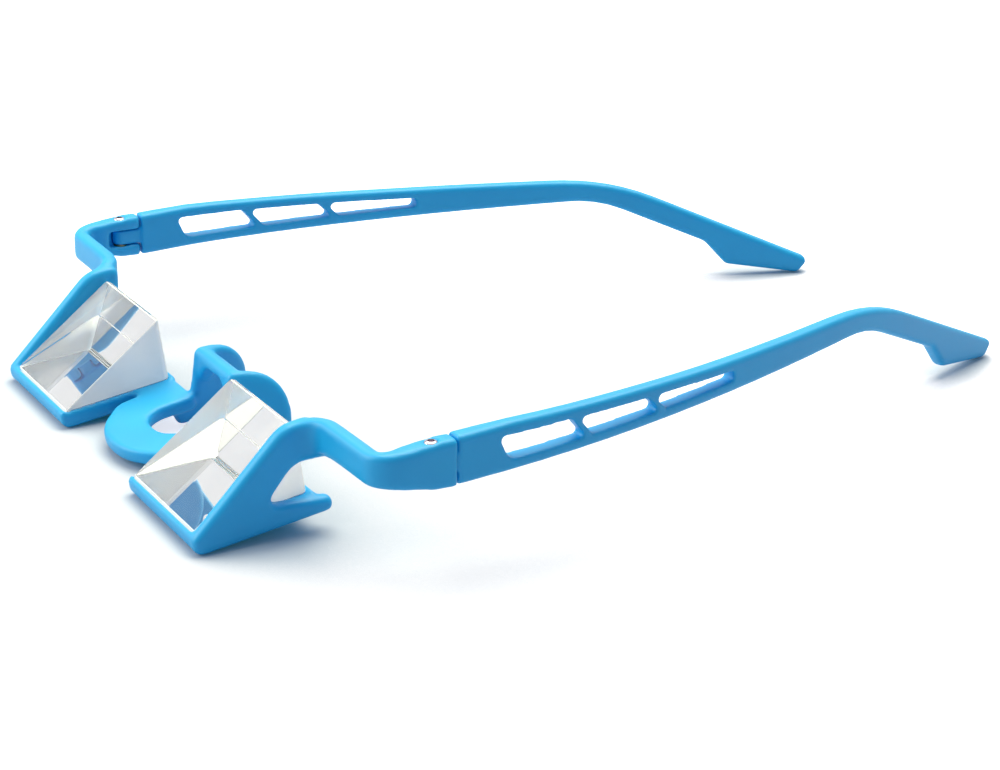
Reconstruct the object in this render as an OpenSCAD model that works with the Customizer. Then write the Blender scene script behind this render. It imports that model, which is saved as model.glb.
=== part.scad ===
// Belay glasses: prism spectacles that turn a level gaze upwards.
// They stand open as on a table: the trays' front corners and both temple tips touch z = 0.
// The wearer looks towards -Y, +X is the wearer's left and +Z is up. Sizes are in millimetres.

/* [Prisms] */
// Width of each prism, across the face
prism_w = 25.5; // [22:0.1:28]
// Free width between the two prisms
prism_gap = 33; // [30:0.5:40]
// Depth of a prism along its mirrored bottom
prism_d = 20.7; // [19:0.1:23]
// Angle of the thin front edge of a prism
prism_angle = 30; // [28:0.5:32]
// Rounding of a prism's upright edges
prism_r = 1.2; // [0.4:0.1:2]
// Flat ground along a prism's sharp edges
prism_flat = 0.35; // [0.2:0.05:0.6]
// Thickness of the silvering and its lacquer
coat_t = 0.1; // [0.08:0.01:0.2]
// Thickness of the bond under the silvering
bond_t = 0.15; // [0.1:0.01:0.3]

/* [Front frame] */
// Rise of the prisms' bottoms towards the wearer
tray_tilt = 8.4; // [6:0.1:10]
// Thickness of the trays and the bridge plate
tray_t = 3.2; // [2.8:0.1:4]
// Rim of the tray in front of the glass
lip_w = 0.9; // [0.8:0.1:1.6]
// Height of the rims over the tray's seat
lip_h = 0.8; // [0.5:0.1:1.5]
// Wall between the side plate and the glass
glass_gap = 0.1; // [0.05:0.01:0.3]
// Thickness of the side plates
side_t = 3.0; // [2.4:0.1:4]
// Height of the side plate's crest over the top of the glass
crest_h = 1.8; // [1:0.1:2.5]
// Reach of the side plate's lower arm behind the glass
arm_reach = 3.1; // [2.4:0.1:4]
// Rounding of the frame's moulded edges
edge_r = 1.0; // [0.6:0.05:1.2]

/* [Bridge and nose saddle] */
// Half width of the horseshoe where it meets the trays
shoe_half = 13.9; // [12.5:0.1:14.5]
// Width of the horseshoe's opening
shoe_slot = 12; // [10:0.1:13]
// Height of the saddle's crest above the table
saddle_top = 14.9; // [13:0.1:16]
// Distance between the middles of the nose pads at the crest
pad_spacing = 14.0; // [12.5:0.1:16]
// Thickness of the nose pads
pad_t = 2.5; // [2.2:0.1:3]
// Angle at which the nose pads open to the rear
pad_flare = 9.6; // [5:0.2:14]
// Angle at which the nose pads spread towards the feet
pad_lean = 8.8; // [4:0.2:12]
// Length of the nose pads behind the crest's front
pad_l = 11.5; // [9:0.1:13]
// Length of the strap over the nose, front to rear
strap_l = 3.4; // [2.4:0.1:5]

/* [Brow arms and hinges] */
// Distance of each hinge axis from the middle
hinge_half = 65.8; // [62:0.1:70]
// Distance of the hinge axes behind the glass's front edge
hinge_y = 30.3; // [29:0.1:34]
// Top of the hinges above the table
hinge_top = 22.1; // [21:0.1:24]
// Height of the hinge block
hinge_h = 8.1; // [7.5:0.1:9]
// Width of the hinge block
hinge_w = 4.1; // [3.8:0.1:5]
// Length of the hinge block behind its axis
hinge_l = 3.8; // [3.4:0.1:4.4]
// Height of the brow arm
brow_h = 5.5; // [5.2:0.1:7.5]
// Thickness of the brow arm
brow_t = 3.0; // [2.6:0.1:4]
// Height of the temple's hinge tongue
tongue_h = 2.9; // [2.5:0.1:3.8]
// Radius of the tongue's eye
tongue_r = 1.55; // [1.4:0.05:1.6]
// Diameter of the hinge screw's shank
screw_d = 1.4; // [1.2:0.1:1.6]
// Diameter of the hinge screw's head
screw_head_d = 2.2; // [2:0.1:2.8]
// Height of the hinge screw's head
screw_head_h = 0.7; // [0.5:0.1:0.9]
// Outside diameter of the threaded insert
insert_d = 2.4; // [2.2:0.1:2.6]
// Height of the threaded insert
insert_h = 1.6; // [1.2:0.1:1.7]

/* [Temples] */
// Length of a temple behind its hinge axis
temple_l = 143.4; // [125:0.5:150]
// Thickness of a temple
temple_t = 3.1; // [2.6:0.1:3.6]
// Inward offset of the temple's tip
temple_wrap = 36.4; // [28:0.2:40]
// Outward angle of the temple at the hinge
temple_splay = 0.4; // [0:0.1:4]
// Rise of the temple's top behind the hinge
temple_rise = 0.7; // [0:0.1:1]
// Inward angle of the temple's straight tail
tail_angle = 20.6; // [15:0.1:22]
// Place of the temple's bend behind the ear
bend_u = 101.8; // [94:0.1:106]
// Downward angle of the tail
tail_drop = 24.2; // [20:0.1:27]
// Height of the tail across its middle
tail_h = 4.9; // [4:0.1:5.6]
// Length of the foot at the temple's tip
foot_l = 16.8; // [13:0.1:20]
// Start of the row of windows
window_u = 11.5; // [10:0.1:14]
// Length of the front window along its top
window_l1 = 14.0; // [11:0.1:16]
// Length of the middle window
window_l2 = 14.6; // [11:0.1:16]
// Length of the rear window
window_l3 = 19.1; // [15:0.1:21]
// Width of the ribs between the windows
rib_w = 1.3; // [1.2:0.1:3.2]
// Lean of the ribs over their height
rib_lean = 3.1; // [1:0.1:4]
// Wall above the windows
rim_top = 1.95; // [1.3:0.05:2.3]
// Wall below the windows
rim_bottom = 2.0; // [1.3:0.05:2.3]

/* [Fits] */
// Gap between a temple and its hinge block
hinge_gap = 0.22; // [0.15:0.01:0.3]
// Gap above and below the hinge tongue
tongue_gap = 0.12; // [0.08:0.01:0.2]
// Radial running clearance of the tongue on its screw
pin_clear = 0.05; // [0.02:0.01:0.08]
// Radial clearance of the screw in the frame
seat_clear = 0.02; // [0.01:0.01:0.05]

/* [Hidden] */

BLUE = [0.20, 0.63, 0.86];
GLASS = [0.90, 0.94, 0.97, 0.45];
SILVER = [0.80, 0.82, 0.84];
BOND = [0.93, 0.93, 0.90];
BRASS = [0.78, 0.66, 0.36];

round_n = 32;
corner_n = 4;
eps = 0.01;
skin = 0.07;

// Places worked out from the sizes above
prism_x0 = prism_gap / 2;
prism_x1 = prism_x0 + prism_w;
prism_h = prism_d * tan(prism_angle);
side_x0 = prism_x1 + glass_gap;
side_x1 = side_x0 + side_t;
side_mid = side_x0 + side_t / 2;
seat_v = -coat_t - bond_t;
hinge_base = hinge_top - hinge_h;
tongue_z = hinge_base + hinge_h / 2;
slot_h = tongue_h + 2 * tongue_gap;
slot_r = tongue_r + 0.15;
pocket_l = 1.2;

// The rounded front corner of the trays touches the table
nose_s = -lip_w;
nose_r = tray_t / 2;
prism_lift = nose_r - (nose_s + nose_r) * sin(tray_tilt) + (tray_t - nose_r) * cos(tray_tilt);

// Height and depth of a point of the tilted prism plane
function level_z(s, v) = prism_lift + s * sin(tray_tilt) + v * cos(tray_tilt);
function level_y(s, v) = s * cos(tray_tilt) - v * sin(tray_tilt);
function plane_s(y, z) = y * cos(tray_tilt) + (z - prism_lift) * sin(tray_tilt);
function plane_v(y, z) = (z - prism_lift) * cos(tray_tilt) - y * sin(tray_tilt);

// Outlines are lists of corners [x, y, radius]; these functions round and inset them
function unit(v) = v / norm(v);
function xy(c) = [c[0], c[1]];
function before(path, i) = xy(path[(i + len(path) - 1) % len(path)]);
function after(path, i) = xy(path[(i + 1) % len(path)]);
function cross2(a, b) = a[0] * b[1] - a[1] * b[0];
function half_angle(u, w) = acos(max(-1, min(1, u * w))) / 2;

function corner_arc(p, c, q, r, n) =
    let (u = unit(p - c), w = unit(q - c), h = half_angle(u, w))
    h > 89.5 ? [for (i = [0 : n]) c + u * 0.01 * (n / 2 - i)] :
    let (m = c + unit(u + w) * r / sin(h), a = c + u * r / tan(h) - m,
        turn = (180 - 2 * h) * (cross2(c - p, q - c) > 0 ? 1 : -1))
    [for (i = [0 : n]) let (t = turn * i / n)
        m + [a[0] * cos(t) - a[1] * sin(t), a[0] * sin(t) + a[1] * cos(t)]];

function rounded(path, n = corner_n) =
    [for (i = [0 : len(path) - 1])
        each corner_arc(before(path, i), xy(path[i]), after(path, i), path[i][2], n)];

function inset(path, d) =
    [for (i = [0 : len(path) - 1])
        let (c = xy(path[i]), u = unit(before(path, i) - c), w = unit(after(path, i) - c),
            h = half_angle(u, w), s = cross2(-u, w) > 0 ? 1 : -1,
            q = h > 89.5 ? c + [-w[1], w[0]] * d : c + unit(u + w) * s * d / sin(h))
        [q[0], q[1], max(0.2, path[i][2] - s * d)]];

// Rings [depth, inset] that turn a plate's edges over with radius e
function edge_rings(t, e, k = 2) = concat(
    [for (j = [0 : k]) let (a = 90 * (1 - j / k)) [e * (1 - sin(a)), e * (1 - cos(a))]],
    [for (j = [0 : k]) let (a = 90 * j / k) [t - e * (1 - sin(a)), e * (1 - cos(a))]]);

// Triangles that fill an outline: ears are cut off it, which are corners with no other corner inside
function turn(a, b, c) = cross2(b - a, c - b);
function holds(a, b, c, p) = turn(a, b, p) >= 0 && turn(b, c, p) >= 0 && turn(c, a, p) >= 0;
function is_ear(points, ring, k) =
    let (n = len(ring), a = points[ring[(k + n - 1) % n]], b = points[ring[k]],
        c = points[ring[(k + 1) % n]])
    turn(a, b, c) > 0 && len([for (j = [2 : n - 2]) if (holds(a, b, c, points[ring[(k + j) % n]])) j]) == 0;
function first_ear(points, ring, k = 0) =
    k >= len(ring) ? 0 : is_ear(points, ring, k) ? k : first_ear(points, ring, k + 1);
function ears(points, ring) =
    let (n = len(ring), k = first_ear(points, ring))
    n == 3 ? [ring] : concat([[ring[(k + n - 1) % n], ring[k], ring[(k + 1) % n]]],
        ears(points, [for (i = [0 : n - 1]) if (i != k) ring[i]]));

// Faces of a tube of rings of m points, with the same cap at each end
function ring_faces(rings, m, cap) = concat(
    [for (f = cap) [for (i = [len(f) - 1 : -1 : 0]) f[i]]],
    [for (j = [0 : rings - 2]) for (i = [0 : m - 1])
        let (a = j * m + i, b = j * m + (i + 1) % m) [a, b, b + m, a + m]],
    [for (f = cap) [for (i = f) (rings - 1) * m + i]]);

// Plate with an outline of corners, standing on z = 0, with turned-over edges
module plate(path, t, e = edge_r, n = corner_n) {
    rings = edge_rings(t, e);
    points = [for (r = rings) each [for (p = rounded(inset(path, r[1]), n)) [p[0], p[1], t - r[0]]]];
    m = len(points) / len(rings);
    cap = ears([for (i = [0 : m - 1]) xy(points[i])], [for (i = [0 : m - 1]) i]);
    polyhedron(points, ring_faces(len(rings), m, cap), convexity = 6);
}

// Upright section of a bar: a rectangle t wide from z0 to z1 with rounded corners
function bar_section(t, z0, z1, e, k = 3) =
    let (r = min(e, t / 2 - 0.05, (z1 - z0) / 2 - 0.05), w = t / 2 - r)
    [for (c = [[w, z1 - r, 0], [-w, z1 - r, 90], [-w, z0 + r, 180], [w, z0 + r, 270]])
        for (j = [0 : k]) [c[0] + r * cos(c[2] + 90 * j / k), c[1] + r * sin(c[2] + 90 * j / k)]];

// Bar along plan stations [x, y, thickness, z0, z1]
module bar(stations, e) {
    n = len(stations);
    function at(i) = xy(stations[max(0, min(n - 1, i))]);
    sections = [for (i = [0 : n - 1])
        let (d = unit(at(i + 1) - at(i - 1)), s = stations[i])
        [for (q = bar_section(s[2], s[3], s[4], e)) [s[0] + d[1] * q[0], s[1] - d[0] * q[0], q[1]]]];
    m = len(sections[0]);
    polyhedron([for (s = sections) each s], ring_faces(n, m, [[for (i = [0 : m - 1]) i]]), convexity = 6);
}

// Turns a YZ outline that is drawn flat into a plate that stands across X
module across_x() rotate([90, 0, 90]) children();

// The tilted frame of the prisms, seen from the table
module tilted() translate([0, 0, prism_lift]) rotate([tray_tilt, 0, 0]) children();

// The origin lies under the middle of the whole pair of glasses
module placed() translate([0, -middle_y, 0]) children();
module left() placed() children();
module right() placed() mirror([1, 0, 0]) children();

// Prisms, silvering and bond

function prism_outline() =
    let (f = prism_flat, s = tan(prism_angle))
    [[f / s, 0], [prism_d - f, 0], [prism_d, f], [prism_d, prism_h - 2 * f], [prism_d - f, prism_h - f * s],
        [f / s, f]];

// Plan of a prism: upright edges rounded, less at the thin front
function prism_plan(grow = 0) = [
    [prism_x0 - grow, -grow, prism_r / 2], [prism_x1 + grow, -grow, prism_r / 2],
    [prism_x1 + grow, prism_d + grow, prism_r], [prism_x0 - grow, prism_d + grow, prism_r]];

module prism_glass() tilted() intersection() {
    translate([prism_x0, 0, 0]) across_x() linear_extrude(prism_w) polygon(prism_outline());
    linear_extrude(prism_h) polygon(rounded(prism_plan(), 6));
}

// A film under the glass between two depths
module film(v, t) tilted() translate([0, 0, v]) linear_extrude(t) polygon(rounded(prism_plan(), 6));

// Side plate with its C-shaped opening, drawn in the prisms' own plane
crest_v = prism_h + crest_h;
rim_slope = tan(prism_angle + 6.2);
rear_y = level_y(prism_d, 0) + 2.2;
plate_y = rear_y - 1.6;
rear_s0 = plane_s(plate_y, hinge_base - 1.6);
rear_v0 = plane_v(plate_y, hinge_base - 1.6);
arch_s = prism_d - 1.6;
throat_s = prism_d - 8.6;
function side_outline() = [
    [nose_s, -tray_t, nose_r],
    [prism_d + arm_reach, -tray_t, nose_r - 0.4],
    [prism_d + arm_reach, -0.7, 1.15],
    [throat_s, 1.35, 1.1],
    [arch_s, 7.9, 4.5],
    [rear_s0, rear_v0, 1.6],
    [plane_s(plate_y, hinge_top - 1.2), crest_v, 1.6],
    [prism_d - 3.4, crest_v, 6],
    [nose_s, 0.5 + rim_slope * nose_s, 1.3]];
module side_plate() tilted() translate([side_x0, 0, 0]) across_x() plate(side_outline(), side_t, edge_r);

// Brow arm: up from the side plate, out to the side and back to the hinge
brow_y = rear_y - brow_t / 2;
brow_path = [
    [side_mid, brow_y - 9, 0], [side_mid, brow_y, 5], [hinge_half + 0.1, brow_y + 0.3, 3.2],
    [hinge_half + 0.1, hinge_y + hinge_l, 0]];
brow_bends = [for (i = [1, 2]) corner_arc(xy(brow_path[i - 1]), xy(brow_path[i]), xy(brow_path[i + 1]),
    brow_path[i][2], 6)];
function stretch(a, b, n) = [for (i = [1 : n]) a + (b - a) * i / (n + 1)];
brow_line = concat([xy(brow_path[0])], stretch(xy(brow_path[0]), brow_bends[0][0], 2), brow_bends[0],
    stretch(brow_bends[0][6], brow_bends[1][0], 4), brow_bends[1],
    stretch(brow_bends[1][6], xy(brow_path[3]), 6), [xy(brow_path[3])]);
// Way along the brow arm at each station
function run(line, i) = i == 0 ? 0 : run(line, i - 1) + norm(line[i] - line[i - 1]);
brow_run = [for (i = [0 : len(brow_line) - 1]) run(brow_line, i)];
turn_1 = brow_run[5];
turn_2 = brow_run[17];
brow_end = brow_run[len(brow_run) - 1];
brow_top = hinge_top - 1.3;
// Top, bottom and thickness of the arm along the way
function brow_z1(t) = lookup(t, [
    [0, brow_top - 8.4], [turn_1 - 2.4, brow_top - 1.5], [turn_1 + 1.6, brow_top - 0.5],
    [turn_1 + 6, brow_top - 0.05], [turn_2 - 2, brow_top], [brow_end - 5.5, hinge_top - 0.3],
    [brow_end - 3, hinge_top], [brow_end, hinge_top]]);
function brow_z0(t) = lookup(t, [
    [0, brow_top - 9.6], [turn_1 - 2.4, brow_top - 7.6], [turn_1 + 1.6, brow_top - 7.4],
    [turn_1 + 6, brow_top - brow_h - 0.2], [turn_1 + 12, brow_top - brow_h], [turn_2 + 1, brow_top - brow_h],
    [brow_end - 6, hinge_base + 0.6], [brow_end - 4, hinge_base + 0.1], [brow_end, hinge_base]]);
function brow_w(t) = lookup(t, [
    [0, side_t - 0.3], [turn_1, brow_t], [turn_2, brow_t], [brow_end - 8, hinge_w], [brow_end, hinge_w]]);
module brow_arm() bar([for (i = [0 : len(brow_line) - 1]) let (t = brow_run[i])
    [brow_line[i][0], brow_line[i][1], brow_w(t), brow_z0(t), brow_z1(t)]], edge_r);

// Tray: the seat of a prism, with a low rim in front and behind
tray_s1 = prism_d + lip_w;
function tray_outline() =
    let (s0 = nose_s + skin, v0 = skin - tray_t)
    [[s0, v0, nose_r], [tray_s1, v0, nose_r], [tray_s1, lip_h / 2, 0.8], [0.3, lip_h, 0.7],
        [s0, 0.45 + rim_slope * nose_s, 0.7]];
module tray() tilted() {
    x0 = prism_x0 - 0.6;
    difference() {
        translate([x0, 0, 0]) across_x() plate(tray_outline(), side_mid - x0, 0.5);
        translate([0, 0, seat_v]) linear_extrude(tray_t) polygon(rounded(prism_plan(glass_gap / 4), 6));
        translate([x0 - 1, 0, 0]) cube([prism_w * 2, prism_d + glass_gap, tray_t]);
    }
}

// Bridge plate: a flat horseshoe, flush with the glass's bottom, open to the wearer
shoe_s0 = 2.4;
shoe_t = tray_t - 0.5;
shoe_s1 = tray_s1 - 0.2;
slot_s0 = 10.5;
function shoe_outline() =
    let (x = shoe_half, w = shoe_slot / 2, in_x = prism_x0 - 0.3)
    [[-0.42 * x, shoe_s0, x], [0.42 * x, shoe_s0, x], [x, 9.2, 5.2], [x, 13.1, 1.2], [in_x, 13.4, 1],
        [in_x, shoe_s1, 1], [w, shoe_s1, 1], [w, slot_s0, w - 1], [-w, slot_s0, w - 1], [-w, shoe_s1, 1],
        [-in_x, shoe_s1, 1], [-in_x, 13.4, 1], [-x, 13.1, 1.2], [-x, 9.2, 5.2]];
module bridge_plate() tilted() translate([0, 0, -shoe_t]) plate(shoe_outline(), shoe_t, 0.7, 8);

// Nose saddle: two petal-shaped pads that flare to the rear and below, tied by a strap over the nose
pad_y0 = rear_y - 1.4;
function pad_outline() =
    let (y = pad_y0, z = saddle_top, l = pad_l)
    [[y - 4.6, 4.0, 1.3], [y - 2.6, 0.25, 1.2], [y + l - 3.2, 0.5, 3.4], [y + l, 3.2, 3],
        [y + l, z, l * 0.7], [y + 0.15, z, 1.2], [y, 6, 0.8]];
module nose_pad() translate([pad_spacing / 2, pad_y0 + 2, saddle_top]) rotate([0, -pad_lean, -pad_flare])
    translate([-pad_t / 2, -pad_y0 - 2, -saddle_top]) across_x() plate(pad_outline(), pad_t, edge_r, 6);
module saddle_strap() {
    w = pad_spacing / 2;
    z = saddle_top;
    path = [[-w, z - 0.1, 1.3], [-w, z - 6, 0.6], [1.3 - w, z - 6, 0.5], [-2.6, z - 2.5, 2.5],
        [2.6, z - 2.5, 2.5], [w - 1.3, z - 6, 0.5], [w, z - 6, 0.6], [w, z - 0.1, 1.3]];
    translate([0, pad_y0 + strap_l + 0.3, 0]) rotate([90, 0, 0]) plate(path, strap_l, 1.3);
}

// Plan of the room that the temple's tongue turns in
module tongue_room() {
    circle(r = slot_r, $fn = round_n);
    translate([-hinge_w, -slot_r - pocket_l]) square([hinge_w, hinge_w * 2 + pocket_l]);
    square([slot_r, hinge_w * 2]);
}

module at_hinge(z = 0) translate([hinge_half, hinge_y, z]) children();

// What is cut out of the hinge block: rear corner, tongue slot, screw hole and insert seat
module hinge_cuts() {
    head_z = hinge_top - screw_head_h - 0.15;
    at_hinge(hinge_base - 1) linear_extrude(hinge_h + 2) difference() {
        translate([-hinge_w, 0]) square([hinge_w, hinge_w * 2]);
        circle(r = hinge_l + skin, $fn = 64);
    }
    at_hinge(tongue_z - slot_h / 2) linear_extrude(slot_h) tongue_room();
    at_hinge(tongue_z) cylinder(r = screw_d / 2 + seat_clear, h = hinge_h, $fn = round_n);
    at_hinge(head_z) cylinder(r = screw_head_d / 2 + seat_clear, h = hinge_h, $fn = round_n);
    at_hinge(tongue_z - slot_h / 2 - insert_h)
        cylinder(r = insert_d / 2, h = insert_h + eps, $fn = round_n);
}

module frame_half() {
    difference() {
        union() {
            side_plate();
            brow_arm();
        }
        hinge_cuts();
    }
    tray();
    nose_pad();
}

module front_frame() color(BLUE) placed() {
    frame_half();
    mirror([1, 0, 0]) frame_half();
    bridge_plate();
    saddle_strap();
}

// Hinge screw: domed head with a hexagon recess, shank down into the insert
module hinge_screw() color(SILVER) at_hinge() {
    head_z = hinge_top - screw_head_h - 0.15;
    tip_z = tongue_z - slot_h / 2 - insert_h + 0.2;
    r = screw_head_d / 2;
    difference() {
        rotate_extrude($fn = round_n) polygon([
            [0, tip_z], [screw_d / 2 - 0.2, tip_z], [screw_d / 2, tip_z + 0.2], [screw_d / 2, head_z],
            [r, head_z], [r, head_z + screw_head_h * 0.6], [r - 0.15, head_z + screw_head_h * 0.85],
            [r - 0.4, head_z + screw_head_h], [0, head_z + screw_head_h]]);
        translate([0, 0, head_z + screw_head_h * 0.35]) cylinder(d = screw_d * 0.9, h = 1, $fn = 6);
    }
}

module hinge_insert() color(BRASS) at_hinge(tongue_z - slot_h / 2 - insert_h) difference() {
    cylinder(d = insert_d, h = insert_h, $fn = round_n);
    translate([0, 0, -1]) cylinder(r = screw_d / 2 + seat_clear / 2, h = insert_h + 2, $fn = round_n);
}

// Temples. u runs back from the hinge axis, w is the height over the hinge's top

// Sideways place of the outer face: a cubic from the splayed hinge to the straight tail
temple_x0 = hinge_w / 2 - 0.35;
function face_x(u) =
    let (l = temple_l, m0 = tan(temple_splay), m1 = -tan(tail_angle), a = u / l, y1 = -temple_wrap)
    hinge_half + temple_x0 + l * m0 * a * (1 - a) * (1 - a) + y1 * a * a * (3 - 2 * a)
        - l * m1 * a * a * (1 - a);

drop = tan(tail_drop);
tail_w1 = -(temple_l - bend_u) * drop;
heel_u = temple_l - foot_l;
tip_w = -hinge_top;
// Upper and lower edges as rounded lines of corners
function open_line(path, n) = concat([xy(path[0])],
    [for (i = [1 : len(path) - 2])
        each corner_arc(xy(path[i - 1]), xy(path[i]), xy(path[i + 1]), path[i][2], n)],
    [xy(path[len(path) - 1])]);
upper = open_line([[0, 0], [window_u + 3, temple_rise, 30], [bend_u * 0.57, temple_rise * 0.3, 90],
    [bend_u, 0.1, 50], [temple_l - 0.1, tail_w1, 0.9], [temple_l, tail_w1 - 3, 0]], 6);
tail_step = tail_h / cos(tail_drop);
lower = open_line([[0, -hinge_h - 0.1], [bend_u - 2.4, -tail_h + 0.7, 24],
    [heel_u - 4.6, -(heel_u - 4.6 - bend_u) * drop - tail_step + 0.1, 2.6],
    [heel_u, tip_w + 2.5, 1.2], [temple_l - 1.6, tip_w, 1], [temple_l, tail_w1 - 1.2, 0]], 6);
function upper_w(u) = lookup(u, upper);
function lower_w(u) = lookup(u, lower);
function temple_w(u) = lookup(u, [
    [0, hinge_w - 0.35], [8, hinge_w - 0.5], [16, temple_t], [temple_l, temple_t]]);

temple_u0 = hinge_l + hinge_gap;
temple_us = concat([temple_u0, temple_u0 + 0.5], [for (u = [8 : 6 : bend_u - 16]) u],
    [for (u = [bend_u - 12 : 3 : heel_u - 7]) u], [for (i = [0 : 11]) heel_u - 6 + i * 0.65],
    [heel_u + 2.2, heel_u + 6, temple_l - 5],
    [for (d = [2.6, 1.9, 1.4, 1.0, 0.65, 0.35, 0.12]) temple_l - d]);
module temple_bar() bar([for (u = temple_us) let (t = temple_w(u))
    [face_x(u) - t / 2, hinge_y + u, t, hinge_top + lower_w(u), hinge_top + upper_w(u)]], edge_r);

// The windows' side edges lean with the ribs
function lintel(u) = upper_w(u) - rim_top;
function sill(u) = lower_w(u) + rim_bottom;
w1_a = window_u;
w1_b = w1_a + window_l1;
w2_a = w1_b + rib_w;
w2_b = w2_a + window_l2;
w3_a = w2_b + rib_w;
w3_b = w3_a + window_l3;
function window(a, b, lean_a, lean_b, ra, rb) = rounded([
    [a, lintel(a), 0.75], [a + lean_a, sill(a + lean_a), ra], [b + lean_b, sill(b + lean_b), rb],
    [b, lintel(b), 0.75]], 5);
module windows() at_hinge(hinge_top) translate([-temple_wrap, 0, 0])
    across_x() linear_extrude(temple_wrap * 2) {
    polygon(window(w1_a, w1_b, rib_lean * 0.65, rib_lean, 2, 0.6));
    polygon(window(w2_a, w2_b, rib_lean, rib_lean, 0.7, 0.6));
    polygon(window(w3_a, w3_b, rib_lean, 0, 0.7, 0.75));
}

module tongue() {
    at_hinge(tongue_z - tongue_h / 2) difference() {
        union() {
            cylinder(r = tongue_r, h = tongue_h, $fn = round_n);
            translate([-tongue_r, 0, 0]) cube([tongue_r * 2 - 0.15, temple_u0 + 2, tongue_h]);
        }
        translate([0, 0, -1]) cylinder(r = screw_d / 2 + pin_clear, h = tongue_h + 2, $fn = round_n);
    }
}

module temple() color(BLUE) {
    difference() {
        temple_bar();
        windows();
    }
    tongue();
}

// Depth of the whole pair, for the origin
front_y = min([for (p = rounded(side_outline())) level_y(p[0], p[1])]);
back_y = hinge_y + temple_l - 0.12;
middle_y = (front_y + back_y) / 2;

module left_prism() left() color(GLASS) prism_glass();
module right_prism() right() color(GLASS) prism_glass();
module left_mirror_coat() left() color(SILVER) film(-coat_t, coat_t);
module right_mirror_coat() right() color(SILVER) film(-coat_t, coat_t);
module left_bond() left() color(BOND) film(seat_v, bond_t);
module right_bond() right() color(BOND) film(seat_v, bond_t);
module left_temple() left() temple();
module right_temple() right() temple();
module left_hinge_screw() left() hinge_screw();
module right_hinge_screw() right() hinge_screw();
module left_hinge_insert() left() hinge_insert();
module right_hinge_insert() right() hinge_insert();

front_frame();
left_prism();
right_prism();
left_mirror_coat();
right_mirror_coat();
left_bond();
right_bond();
left_temple();
right_temple();
left_hinge_screw();
right_hinge_screw();
left_hinge_insert();
right_hinge_insert();
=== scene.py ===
# Belay glasses: a moulded front that carries two mirrored glass prisms, and two folding temples.
# Everything is in metres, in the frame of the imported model: the wearer looks towards -Y, and +X
# is the wearer's left.
import bpy
import bmesh
import math
from mathutils import Matrix, Vector


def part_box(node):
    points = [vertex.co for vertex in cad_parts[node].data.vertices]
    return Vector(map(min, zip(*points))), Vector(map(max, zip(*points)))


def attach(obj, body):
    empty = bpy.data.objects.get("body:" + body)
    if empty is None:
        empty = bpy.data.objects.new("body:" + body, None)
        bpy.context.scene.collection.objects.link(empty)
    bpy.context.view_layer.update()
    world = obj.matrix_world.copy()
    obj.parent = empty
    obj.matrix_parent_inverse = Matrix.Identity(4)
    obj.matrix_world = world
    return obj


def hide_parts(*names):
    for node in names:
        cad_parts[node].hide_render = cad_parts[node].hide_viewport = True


MM = 0.001
# Nearer than the first, two points are one. Nearer than the second, a point lies on a cut
HAIR = 1e-6
CUT_HAIR = 1e-7
WHITE = (1, 1, 1)

# The mouldings: the cell that a copy is rebuilt with, and the rounds that soften its edges
FRONT_CELL = 0.36 * MM
TEMPLE_CELL = 0.28 * MM
SOFT_ROUNDS = 9
SOFT_SHARE = 0.5
# Where the front is rounder than its solid: the nose saddle with its pads
SADDLE_SOFT_SPOT = ((-14 * MM, -80 * MM, 8 * MM), (14 * MM, -40 * MM, 50 * MM), 14)

# The prisms: a wedge's own sizes, and how far its inner end is from the middle of the glasses
PRISM_WIDTH = 25.5 * MM
PRISM_DEPTH = 20.7 * MM
PRISM_ANGLE = math.radians(30)
PRISM_INNER = 16.5 * MM
# The tilted seat that they lie on, and the gap between the glass and its silvered coat
SEAT_TILT = math.radians(8.4)
SEAT_LIFT = 3.0806 * MM
FRONT_SHIFT = -86.3991 * MM
GLASS_SKIN = 0.02 * MM
# What is ground off: the flat along the top, the flat along the thin edge, the rim of each face
TOP_FLAT = 0.30 * MM
THIN_EDGE_FLAT = 1.6 * TOP_FLAT
GLASS_RIM = 0.12 * MM
# The rounding of the upright edges
FRONT_CORNER = 0.6 * MM
REAR_CORNER = 1.2 * MM
CORNER_STEPS = 6
# An edge is upright if it has this share of the wedge's height
UPRIGHT_SHARE = 0.9
# An edge is sharp past this angle, in glass and in steel
SHARP_GLASS = math.radians(25)
SHARP_STEEL = math.radians(30)
# How squarely a face looks sideways or down, to be a wedge's end or its bottom
END_FACING = 0.25
BOTTOM_FACING = 0.9
# The finishes of a wedge's faces, in the order of its material slots
POLISHED, OUTER_END, GROUND_EDGE, SILVERED, INNER_END = range(5)

# The socket in a hinge screw's head: its reach from the axis, and the height of the head
SOCKET_REACH = 0.62 * MM
HEAD_HEIGHT = 0.69 * MM
# The finishes of a screw's faces: bright steel, and near-black painted shade inside the socket
BRIGHT, SOCKET_PAINTED_SHADE = range(2)

# The floor
FLOOR_HALF_SIDE = 6.0
FLOOR_COLOUR = (0.51, 0.52, 0.62)
# Its own light, which lifts it towards white. It is weaker round the front, as painted shade round
# the glasses, and grows between two distances from there
FRONT_MIDDLE = (0, FRONT_SHIFT, 0)
LIFT_NEAR, LIFT_FAR = 50 * MM, 180 * MM
NEAR_LIFT, FAR_LIFT = 0.37, 1.0
# Close to what stands on the floor, where the floor is less open, the lift fades as painted shade:
# how far off a thing still counts, the openness at which the fading is done, and the lift that is left
SHADE_REACH = 50 * MM
SHADE_SAMPLES = 16
SHADE_OPENNESS = 0.66
SHADE_LIFT = 0.06
# It is stronger again in a spot under the bridge's opening, as a painted pool of light
BRIDGE_OPENING = (-10 * MM, -70 * MM, 0)
BRIDGE_NEAR, BRIDGE_FAR = 5 * MM, 11 * MM
PAINTED_BRIDGE_LIGHT = 0.7
# The lift's colour where it is weak, a painted blue tint in the floor's shadows, and the strengths
# between which it turns white
PAINTED_SHADOW_BLUE = (0.0, 0.65, 0.85)
TINT_START, TINT_END = 0.06, 0.25
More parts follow.
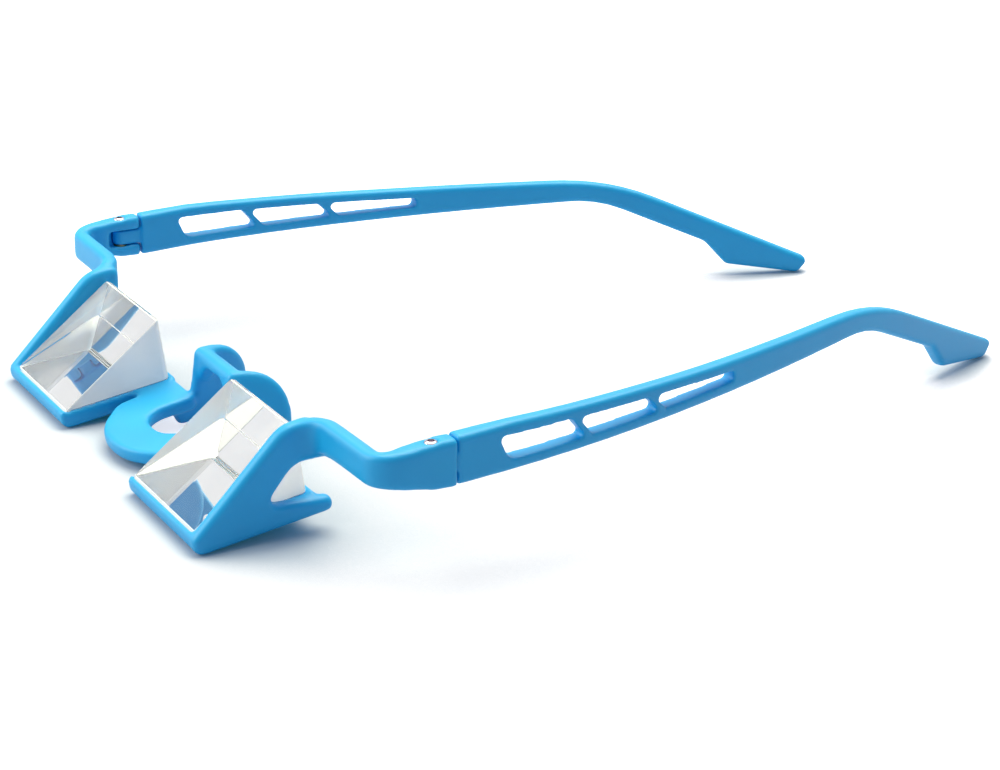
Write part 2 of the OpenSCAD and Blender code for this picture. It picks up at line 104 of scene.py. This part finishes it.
# To gloss and glass, the floor's own light and the surround are dimmer than to the camera
FLOOR_IN_GLASS = 0.6
SURROUND_IN_GLASS = 0.92

# The surround's even light
FILL_COLOUR = (0.90, 0.84, 1.0)
FILL_STRENGTH = 0.30

# The camera: its bearing, how far it looks down and its roll are in degrees, its film and lens in
# millimetres
CAMERA_PLACE = (0.3599, -0.2140, 0.1592)
CAMERA_BEARING = 59.97
CAMERA_DIP = 20.98
CAMERA_ROLL = 0.92
CAMERA_FILM = 36.0
CAMERA_LENS = 84.46
CAMERA_NEAREST = 10 * MM

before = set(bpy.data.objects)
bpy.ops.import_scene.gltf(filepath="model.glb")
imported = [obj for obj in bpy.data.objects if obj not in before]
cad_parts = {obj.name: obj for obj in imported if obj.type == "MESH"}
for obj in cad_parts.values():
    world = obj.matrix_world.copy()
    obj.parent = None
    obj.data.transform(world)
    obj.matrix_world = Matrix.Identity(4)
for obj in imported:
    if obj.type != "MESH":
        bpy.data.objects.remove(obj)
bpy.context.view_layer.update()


# Helpers for meshes

def added(name, data):
    """A new object with this data, in the scene."""
    item = bpy.data.objects.new(name, data)
    bpy.context.scene.collection.objects.link(item)
    return item


def place(mesh, name, body, stands_for):
    """Adds a finished mesh as a piece that rides on a body and stands for a CAD node."""
    piece = added(name, mesh)
    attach(piece, body)
    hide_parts(stands_for)


def merged_copy(node):
    """The mesh of a CAD node, copied, with its loose triangles joined."""
    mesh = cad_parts[node].data.copy()
    mesh.name = node + "_copy"
    shape = bmesh.new()
    shape.from_mesh(mesh)
    bmesh.ops.remove_doubles(shape, verts=shape.verts, dist=HAIR)
    shape.to_mesh(mesh)
    shape.free()
    return mesh


def moulded(node, cell, soft_spots=()):
    """A copy of a CAD node whose edges and inner corners are softened, as a moulding's are.

    A soft spot is a low corner, a high corner and the further rounds between them."""
    blank = added(node + "_blank", merged_copy(node))
    skin = blank.modifiers.new("skin", "REMESH")
    skin.mode = "VOXEL"
    skin.voxel_size = cell
    soften = blank.modifiers.new("soften", "SMOOTH")
    soften.factor = SOFT_SHARE
    soften.iterations = SOFT_ROUNDS
    blank.data.materials.clear()
    ready = blank.evaluated_get(bpy.context.evaluated_depsgraph_get())
    mesh = bpy.data.meshes.new_from_object(ready)
    mesh.name = node + "_moulded"
    bpy.data.objects.remove(blank)
    shape = bmesh.new()
    shape.from_mesh(mesh)
    for low, high, further in soft_spots:
        near = [v for v in shape.verts if all(low[i] < v.co[i] < high[i] for i in range(3))]
        for _ in range(further):
            bmesh.ops.smooth_vert(shape, verts=near, factor=SOFT_SHARE,
                                  use_axis_x=True, use_axis_y=True, use_axis_z=True)
    shape.to_mesh(mesh)
    shape.free()
    mesh.polygons.foreach_set("use_smooth", [True] * len(mesh.polygons))
    return mesh


def sharp_edges(shape, angle):
    """The edges whose two faces turn by more than an angle."""
    return [e for e in shape.edges if e.is_manifold and e.calc_face_angle() > angle]


def bevelled(shape, edges, width, steps):
    """Bevels some edges of a shape, and gives the new faces."""
    return bmesh.ops.bevel(shape, geom=edges, offset=width, offset_type="OFFSET", segments=steps,
                           profile=0.5, affect="EDGES", material=-1)["faces"]


# Helpers for materials

def new_material(name):
    """A material with its node tree and its shader."""
    material = bpy.data.materials.new(name)
    material.use_nodes = True
    tree = material.node_tree
    return material, tree, tree.nodes["Principled BSDF"]


def set_sockets(node, **values):
    """Sets a node's own sockets, each named with _ for a space."""
    for name, value in values.items():
        node.inputs[name.replace("_", " ")].default_value = value


def object_place(tree):
    """Where a point is on the object."""
    return tree.nodes.new("ShaderNodeTexCoord").outputs["Object"]


def noise(tree, where, scale, detail):
    """A cloudy value from 0 to 1."""
    node = tree.nodes.new("ShaderNodeTexNoise")
    set_sockets(node, Scale=scale, Detail=detail)
    tree.links.new(where, node.inputs["Vector"])
    return node.outputs["Fac"]


def blend_colours(tree, factor, low, high, start=0.3, end=0.7):
    """A colour that goes from low to high while the factor goes from start to end."""
    ramp = tree.nodes.new("ShaderNodeValToRGB")
    for stop, position, colour in zip(ramp.color_ramp.elements, (start, end), (low, high)):
        stop.position = position
        stop.color = (*colour, 1)
    tree.links.new(factor, ramp.inputs["Fac"])
    return ramp.outputs["Color"]


def spread(tree, factor, low, high, start=0.0, end=1.0):
    """A value that goes from low to high while the factor goes from start to end.

    A high value that varies is given as a socket."""
    node = tree.nodes.new("ShaderNodeMapRange")
    set_sockets(node, From_Min=start, From_Max=end, To_Min=low)
    if isinstance(high, bpy.types.NodeSocket):
        tree.links.new(high, node.inputs["To Max"])
    else:
        set_sockets(node, To_Max=high)
    tree.links.new(factor, node.inputs["Value"])
    return node.outputs["Result"]


def distance(tree, where, middle):
    """How far a place is from a point."""
    node = tree.nodes.new("ShaderNodeVectorMath")
    node.operation = "DISTANCE"
    tree.links.new(where, node.inputs[0])
    node.inputs[1].default_value = middle
    return node.outputs["Value"]


def combined(tree, operation, first, second):
    """One value made of two, by the operation of a Math node."""
    node = tree.nodes.new("ShaderNodeMath")
    node.operation = operation
    tree.links.new(first, node.inputs[0])
    tree.links.new(second, node.inputs[1])
    return node.outputs["Value"]


def bump(tree, height, depth, strength):
    """The way a surface faces that has a fine relief on it."""
    node = tree.nodes.new("ShaderNodeBump")
    set_sockets(node, Distance=depth, Strength=strength)
    tree.links.new(height, node.inputs["Height"])
    return node.outputs["Normal"]


def seen_by(tree):
    """Whether the camera sees this, and whether gloss or glass does."""
    path = tree.nodes.new("ShaderNodeLightPath")
    by_gloss_or_glass = combined(tree, "MAXIMUM", path.outputs["Is Glossy Ray"],
                                 path.outputs["Is Transmission Ray"])
    return path.outputs["Is Camera Ray"], by_gloss_or_glass


# Materials

def satin_blue(name, low, high):
    """Cyan-blue nylon moulding with the fine grain of a spark-eroded mould."""
    material, tree, shader = new_material(name)
    where = object_place(tree)
    cloud = noise(tree, where, scale=90, detail=4)
    grain = noise(tree, where, scale=5200, detail=2)
    tree.links.new(blend_colours(tree, cloud, low, high), shader.inputs["Base Color"])
    tree.links.new(spread(tree, cloud, low=0.36, high=0.48), shader.inputs["Roughness"])
    tree.links.new(bump(tree, grain, depth=0.03 * MM, strength=0.25), shader.inputs["Normal"])
    set_sockets(shader, IOR=1.5, Specular_IOR_Level=0.4)
    set_sockets(shader, Subsurface_Weight=0.12, Subsurface_Radius=(0.3, 0.8, 1.0))
    set_sockets(shader, Subsurface_Scale=1.5 * MM)
    return material


def clear_glass(low, high):
    """Polished optical glass, with the faintest cloud of handling in its tint."""
    material, tree, shader = new_material("clear_prism_glass")
    haze = noise(tree, object_place(tree), scale=120, detail=4)
    tree.links.new(blend_colours(tree, haze, low, high), shader.inputs["Base Color"])
    set_sockets(shader, Roughness=0.0, Transmission_Weight=1.0, IOR=1.52)
    return material


def ground_glass(name, low, high, clear):
    """Glass ground matt, as on the ends of a prism and the narrow flats along its edges.

    Clear is the share of light that still passes."""
    material, tree, shader = new_material(name)
    cloud = noise(tree, object_place(tree), scale=220, detail=3)
    tree.links.new(spread(tree, cloud, low=0.6, high=0.75), shader.inputs["Roughness"])
    tree.links.new(blend_colours(tree, cloud, low, high), shader.inputs["Base Color"])
    set_sockets(shader, Transmission_Weight=clear, IOR=1.5)
    return material


def silver_film(low, high):
    """The silvering under the glass, with faint clouds where it was deposited."""
    material, tree, shader = new_material("prism_silvering")
    cloud = noise(tree, object_place(tree), scale=160, detail=3)
    tree.links.new(blend_colours(tree, cloud, low, high), shader.inputs["Base Color"])
    set_sockets(shader, Roughness=0.0, Metallic=1.0)
    return material


def bond_resin(low, high):
    """The whitish bond between the silvering and the tray."""
    material, tree, shader = new_material("prism_bond_resin")
    cloud = noise(tree, object_place(tree), scale=400, detail=3)
    tree.links.new(blend_colours(tree, cloud, low, high), shader.inputs["Base Color"])
    tree.links.new(spread(tree, cloud, low=0.4, high=0.6), shader.inputs["Roughness"])
    return material


def turned_metal(name, low, high, smooth, rough):
    """Small turned metal parts, with fine tool marks."""
    material, tree, shader = new_material(name)
    marks = noise(tree, object_place(tree), scale=3000, detail=3)
    tree.links.new(blend_colours(tree, marks, low, high), shader.inputs["Base Color"])
    tree.links.new(spread(tree, marks, low=smooth, high=rough), shader.inputs["Roughness"])
    tree.links.new(bump(tree, marks, depth=0.01 * MM, strength=0.3), shader.inputs["Normal"])
    set_sockets(shader, Metallic=1.0)
    return material


# Pieces

def front_moulding(plastic):
    """The front, with a rounder nose saddle than its solid has."""
    mesh = moulded("front_frame", FRONT_CELL, (SADDLE_SOFT_SPOT,))
    mesh.materials.append(plastic)
    place(mesh, "front_moulding", "front", "front_frame")


def temple_moulding(side, plastic):
    """A temple, with the tongue of its hinge."""
    node = side + "_temple"
    mesh = moulded(node, TEMPLE_CELL)
    mesh.materials.append(plastic)
    place(mesh, node + "_moulding", side + "_arm", node)


def prism(side, finishes):
    """A solid glass wedge: its thin edge in front, its tall face to the wearer, its bottom silvered.

    The finishes come in the order of the slots' names above."""
    outwards = 1 if side == "left" else -1
    rise = PRISM_DEPTH * math.tan(PRISM_ANGLE)
    middle = outwards * (PRISM_INNER + PRISM_WIDTH / 2)
    shape = bmesh.new()
    bmesh.ops.create_cube(shape, size=1.0)
    bmesh.ops.scale(shape, vec=(PRISM_WIDTH, PRISM_DEPTH, rise), verts=shape.verts)
    bmesh.ops.translate(shape, vec=(middle, PRISM_DEPTH / 2, rise / 2 + GLASS_SKIN), verts=shape.verts)
    for at_rear, radius in ((False, FRONT_CORNER), (True, REAR_CORNER)):
        upright = [e for e in shape.edges
                   if abs(e.verts[0].co.z - e.verts[1].co.z) > UPRIGHT_SHARE * rise
                   and (e.verts[0].co.y > PRISM_DEPTH / 2) == at_rear]
        bevelled(shape, upright, radius, CORNER_STEPS)
    # What lies past each plane goes: over the slope, before the thin edge's flat, over the top's
    slope = Vector((0, -math.sin(PRISM_ANGLE), math.cos(PRISM_ANGLE)))
    forwards, upwards = Vector((0, -1, 0)), Vector((0, 0, 1))
    for point, past in (((0, 0, 0), slope), ((0, THIN_EDGE_FLAT, 0), forwards),
                        ((0, 0, rise - TOP_FLAT), upwards)):
        whole = shape.verts[:] + shape.edges[:] + shape.faces[:]
        cut = bmesh.ops.bisect_plane(shape, geom=whole, dist=CUT_HAIR, plane_co=point,
                                     plane_no=past, clear_outer=True)
        opening = [g for g in cut["geom_cut"] if isinstance(g, bmesh.types.BMEdge)]
        bmesh.ops.contextual_create(shape, geom=opening)
    for face in bevelled(shape, sharp_edges(shape, SHARP_GLASS), GLASS_RIM, 1):
        face.material_index = GROUND_EDGE
    bmesh.ops.recalc_face_normals(shape, faces=shape.faces)
    for face in shape.faces:
        if face.material_index == GROUND_EDGE:
            continue
        sideways = outwards * face.normal.x
        if sideways > END_FACING:
            face.material_index = OUTER_END
        elif sideways < -END_FACING:
            face.material_index = INNER_END
        elif face.normal.z < -BOTTOM_FACING:
            face.material_index = SILVERED
        else:
            face.material_index = POLISHED
    seat = Matrix.Translation((0, FRONT_SHIFT, SEAT_LIFT)) @ Matrix.Rotation(SEAT_TILT, 4, "X")
    bmesh.ops.transform(shape, matrix=seat, verts=shape.verts)
    mesh = bpy.data.meshes.new(side + "_prism_glass")
    shape.to_mesh(mesh)
    shape.free()
    for finish in finishes:
        mesh.materials.append(finish)
    place(mesh, side + "_prism_glass", "front", side + "_prism")


def hinge_screw(side, finishes):
    """The screw of a hinge, seen by its head: bright, with a hexagonal socket painted dark inside as
    shade.
    """
    node = side + "_hinge_screw"
    mesh = merged_copy(node)
    low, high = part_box(node)
    axis_x, axis_y, top = (low[0] + high[0]) / 2, (low[1] + high[1]) / 2, high[2]
    shape = bmesh.new()
    shape.from_mesh(mesh)
    for face in shape.faces:
        point = face.calc_center_median()
        off_axis = math.hypot(point.x - axis_x, point.y - axis_y)
        in_socket = off_axis < SOCKET_REACH and top - HEAD_HEIGHT < point.z < top - HAIR
        # The socket's faces get the near-black painted shade
        face.material_index = SOCKET_PAINTED_SHADE if in_socket else BRIGHT
        face.smooth = True
    for edge in sharp_edges(shape, SHARP_STEEL):
        edge.smooth = False
    shape.to_mesh(mesh)
    shape.free()
    mesh.materials.clear()
    for finish in finishes:
        mesh.materials.append(finish)
    place(mesh, node + "_turned", "front", node)


def dress(node, material):
    """Gives a CAD node that is shown as it is its finish."""
    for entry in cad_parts[node].material_slots:
        entry.material = material


# The studio

def floor_lift(tree):
    """The strength of the floor's own light at each place, with painted shade and a painted pool of light
    in it.
    """
    where = object_place(tree)
    # The lift is lower round the front: painted shade round the glasses
    lift_with_painted_front_shade = spread(tree, distance(tree, where, FRONT_MIDDLE),
                       low=NEAR_LIFT, high=FAR_LIFT, start=LIFT_NEAR, end=LIFT_FAR)
    # Painted contact shade: the lift fades where the floor is less open
    shade = tree.nodes.new("ShaderNodeAmbientOcclusion")
    shade.samples = SHADE_SAMPLES
    set_sockets(shade, Distance=SHADE_REACH)
    lift_with_painted_contact_shade = spread(tree, shade.outputs["AO"], low=SHADE_LIFT, high=lift_with_painted_front_shade,
                         start=SHADE_OPENNESS)
    # A painted pool of light on the floor under the bridge's opening
    painted_bridge_glow = spread(tree, distance(tree, where, BRIDGE_OPENING),
                         low=PAINTED_BRIDGE_LIGHT, high=0.0, start=BRIDGE_NEAR, end=BRIDGE_FAR)
    return combined(tree, "MAXIMUM", lift_with_painted_contact_shade, painted_bridge_glow)


def studio_floor():
    """A pale floor that keeps the glasses' shadow.

    For the camera, for gloss and for glass it adds light of its own, which lights nothing else. It is
    weaker round the front and close to what stands on the floor, as painted shade tinted blue, and
    stronger under the bridge's opening, as a painted pool of light."""
    shape = bmesh.new()
    bmesh.ops.create_grid(shape, x_segments=1, y_segments=1, size=FLOOR_HALF_SIDE)
    mesh = bpy.data.meshes.new("studio_floor")
    shape.to_mesh(mesh)
    shape.free()
    material, tree, shader = new_material("pale_floor")
    set_sockets(shader, Base_Color=(*FLOOR_COLOUR, 1), Roughness=0.6, Specular_IOR_Level=0.2)
    by_camera, by_gloss_or_glass = seen_by(tree)
    seen = combined(tree, "MAXIMUM", by_camera,
                    spread(tree, by_gloss_or_glass, low=0.0, high=FLOOR_IN_GLASS))
    lift = floor_lift(tree)
    # Where the lift is weak the floor's own light is painted blue: a painted tint in its shadows
    tint = blend_colours(tree, lift, PAINTED_SHADOW_BLUE, WHITE, start=TINT_START, end=TINT_END)
    tree.links.new(tint, shader.inputs["Emission Color"])
    tree.links.new(combined(tree, "MULTIPLY", seen, lift), shader.inputs["Emission Strength"])
    mesh.materials.append(material)
    added("studio_floor", mesh)


def soft_box(name, where, aim, side, power, tint):
    """A square lamp that looks at a point."""
    data = bpy.data.lights.new(name, "AREA")
    data.shape = "SQUARE"
    data.size = side
    data.energy = power
    data.color = tint
    turn = (Vector(aim) - Vector(where)).to_track_quat("-Z", "Y").to_matrix().to_4x4()
    added(name, data).matrix_world = Matrix.Translation(where) @ turn


def studio_surround():
    """An even pale light from all round, that is white where the camera, gloss or glass meets it."""
    world = bpy.data.worlds.new("studio_surround")
    bpy.context.scene.world = world
    world.use_nodes = True
    tree = world.node_tree
    fill = tree.nodes["Background"]
    set_sockets(fill, Color=(*FILL_COLOUR, 1), Strength=FILL_STRENGTH)
    white = tree.nodes.new("ShaderNodeBackground")
    set_sockets(white, Color=(*WHITE, 1))
    by_camera, by_gloss_or_glass = seen_by(tree)
    tree.links.new(spread(tree, by_camera, low=SURROUND_IN_GLASS, high=1.0), white.inputs["Strength"])
    mix = tree.nodes.new("ShaderNodeMixShader")
    tree.links.new(combined(tree, "MAXIMUM", by_camera, by_gloss_or_glass), mix.inputs["Fac"])
    tree.links.new(fill.outputs["Background"], mix.inputs[1])
    tree.links.new(white.outputs["Background"], mix.inputs[2])
    tree.links.new(mix.outputs["Shader"], tree.nodes["World Output"].inputs["Surface"])


def photo_camera():
    """The camera stands to the wearer's left, in front and above."""
    data = bpy.data.cameras.new("camera")
    data.sensor_width = CAMERA_FILM
    data.lens = CAMERA_LENS
    data.clip_start = CAMERA_NEAREST
    bearing = Matrix.Rotation(math.radians(CAMERA_BEARING), 4, "Z")
    dip = Matrix.Rotation(math.radians(90 - CAMERA_DIP), 4, "X")
    roll = Matrix.Rotation(math.radians(CAMERA_ROLL), 4, "Z")
    camera = added("camera", data)
    camera.matrix_world = Matrix.Translation(CAMERA_PLACE) @ bearing @ dip @ roll
    bpy.context.scene.camera = camera


front_blue = satin_blue("front_blue_plastic", low=(0.004, 0.365, 0.790), high=(0.008, 0.400, 0.830))
temple_blue = satin_blue("temple_blue_plastic", low=(0.004, 0.360, 0.780), high=(0.008, 0.395, 0.820))
glass = clear_glass(low=(0.990, 0.995, 1.0), high=(1.0, 1.0, 1.0))
outer_end = ground_glass("ground_outer_end", low=(0.98, 0.97, 0.98), high=(1.0, 0.99, 1.0), clear=0.65)
inner_end = ground_glass("ground_inner_end", low=(0.96, 0.95, 0.97), high=(1.0, 0.98, 1.0), clear=0.5)
ground_edge = ground_glass("ground_prism_edge", low=(0.95, 0.96, 0.97), high=(0.99, 0.99, 1.0), clear=0.0)
silver = silver_film(low=(0.94, 0.95, 0.96), high=(0.97, 0.98, 0.98))
bond = bond_resin(low=(0.78, 0.78, 0.74), high=(0.86, 0.86, 0.83))
screw_steel = turned_metal("screw_steel", low=(0.52, 0.46, 0.53), high=(0.64, 0.58, 0.65),
                           smooth=0.12, rough=0.20)
# Painted shade: the socket's inside is near-black, standing for the shade in the recess
socket_painted_shade = turned_metal("screw_socket_shade", low=(0.035, 0.022, 0.020), high=(0.070, 0.048, 0.045),
                            smooth=0.5, rough=0.65)
insert_brass = turned_metal("insert_brass", low=(0.70, 0.52, 0.22), high=(0.80, 0.62, 0.30),
                            smooth=0.25, rough=0.4)

front_moulding(front_blue)
for wearer_side in ("left", "right"):
    temple_moulding(wearer_side, temple_blue)
    prism(wearer_side, (glass, outer_end, ground_edge, silver, inner_end))
    dress(wearer_side + "_mirror_coat", silver)
    dress(wearer_side + "_bond", bond)
    hinge_screw(wearer_side, (screw_steel, socket_painted_shade))
    dress(wearer_side + "_hinge_insert", insert_brass)

studio_floor()
# One large soft box overhead, a little to the rear, and one in front, both on the wearer's right
soft_box("overhead_box", where=(-0.25, 0.17, 0.85), aim=(0, 0, 0), side=0.9, power=12.7,
         tint=(1.0, 1.0, 0.74))
soft_box("front_box", where=(-0.45, -0.70, 0.45), aim=(0, -0.05, 0), side=0.7, power=6.0,
         tint=(1.0, 1.0, 0.80))
studio_surround()
photo_camera()
bpy.context.scene.view_settings.view_transform = "Standard"
